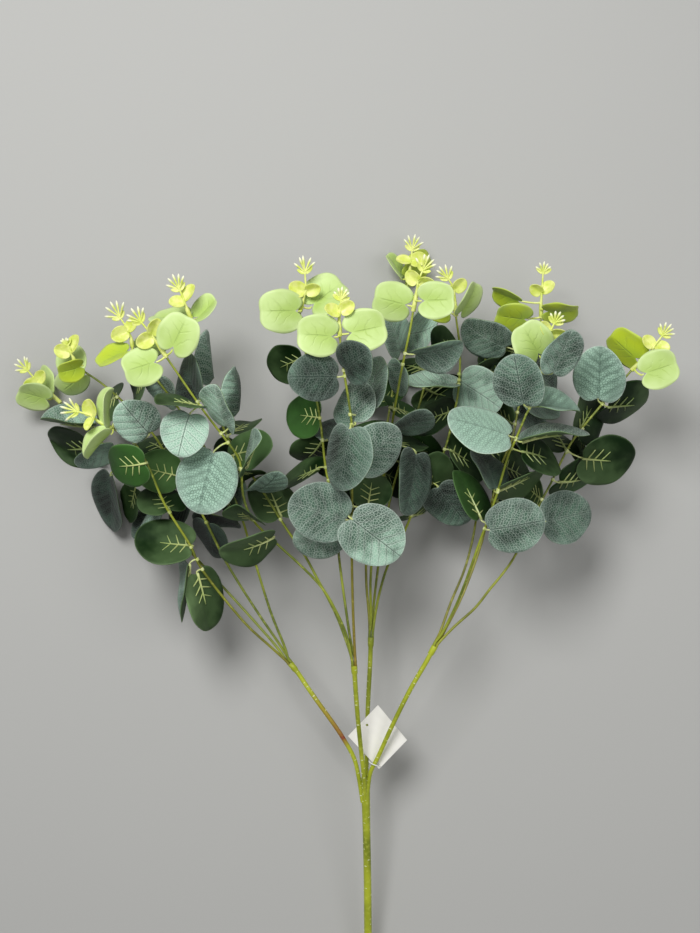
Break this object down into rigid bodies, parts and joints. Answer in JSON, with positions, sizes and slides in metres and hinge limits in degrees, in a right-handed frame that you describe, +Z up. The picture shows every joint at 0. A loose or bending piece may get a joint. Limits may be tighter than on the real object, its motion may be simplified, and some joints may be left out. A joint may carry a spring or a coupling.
{
  "type": "eucalyptus branch",
  "caption": "Silver-dollar eucalyptus branch with leafy twigs, lime tips and a bare hang tag, lying on its lowest leaves.",
  "frame": {"origin": "middle of the box under the branch, on the surface it lies on", "axes": "+Y runs from the cut end of the stem to the tips, +Z up from the surface, +X to the right with the tips pointing away"},
  "size_m": [0.674, 0.8682, 0.2408],
  "materials": {
    "stem": "olive green with pale rings and reddish-brown tinges",
    "leaf": "grey-green face with a pale vein net, dark green back with pale ribs",
    "lime": "pale lime young leaves and buds",
    "tag": "smooth white card",
    "loop": "clear whitish nylon thread"
  },
  "bodies": {
    "root": {"main_stem": "stem", "leafy_twig_01": "leaf", "leafy_twig_02": "leaf", "leafy_twig_03": "leaf", "leafy_twig_04": "leaf", "leafy_twig_05": "leaf", "leafy_twig_06": "leaf", "leafy_twig_07": "leaf", "leafy_twig_08": "leaf", "leafy_twig_09": "leaf", "leafy_twig_10": "leaf", "leafy_twig_11": "leaf", "leafy_twig_12": "leaf", "leafy_twig_13": "leaf", "leafy_twig_14": "leaf", "leafy_twig_15": "leaf", "leafy_twig_16": "leaf", "lime_tip_01": "lime", "lime_tip_02": "lime", "lime_tip_03": "lime", "lime_tip_04": "lime", "lime_tip_05": "lime", "lime_tip_06": "lime", "lime_tip_07": "lime", "lime_tip_08": "lime", "lime_tip_09": "lime", "lime_tip_10": "lime", "lime_tip_11": "lime", "lime_tip_12": "lime", "lime_tip_13": "lime", "lime_tip_14": "lime", "tag": "tag", "tag_loop": "loop"}
  },
  "joints": []
}
